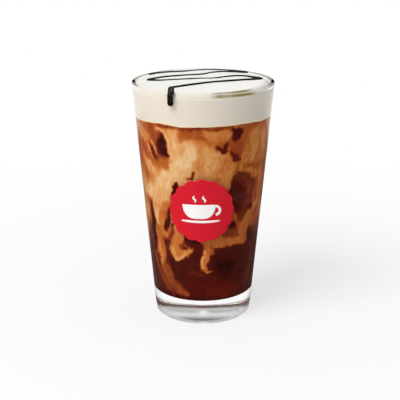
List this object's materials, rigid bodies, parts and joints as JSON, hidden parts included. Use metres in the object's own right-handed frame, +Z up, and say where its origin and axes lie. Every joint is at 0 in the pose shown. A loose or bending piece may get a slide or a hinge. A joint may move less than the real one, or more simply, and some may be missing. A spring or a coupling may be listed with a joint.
{
  "type": "iced coffee with cold foam in a pint glass",
  "caption": "Iced milky coffee with a layer of cold foam, in a tall tapered glass tumbler with a thick clear foot.",
  "frame": {"origin": "centre of the glass's foot, on the surface that it stands on", "axes": "+Z up along the glass's axis; -Y is the front, where the sauce runs over the lip and the printed mark is"},
  "size_m": [0.0888, 0.0888, 0.1522],
  "materials": {
    "clear_glass": "clear polished soda-lime glass",
    "milky_coffee": "wet, dark brown coffee marbled with tan milk",
    "cold_foam": "soft matte off-white milk foam",
    "chocolate_sauce": "glossy, nearly black chocolate sauce",
    "ice": "clear ice, dark with the coffee behind it",
    "printed_mark": "smooth red and white enamel print"
  },
  "bodies": {
    "root": {"glass": "clear_glass", "coffee": "milky_coffee", "foam": "cold_foam"}
  },
  "joints": []
}
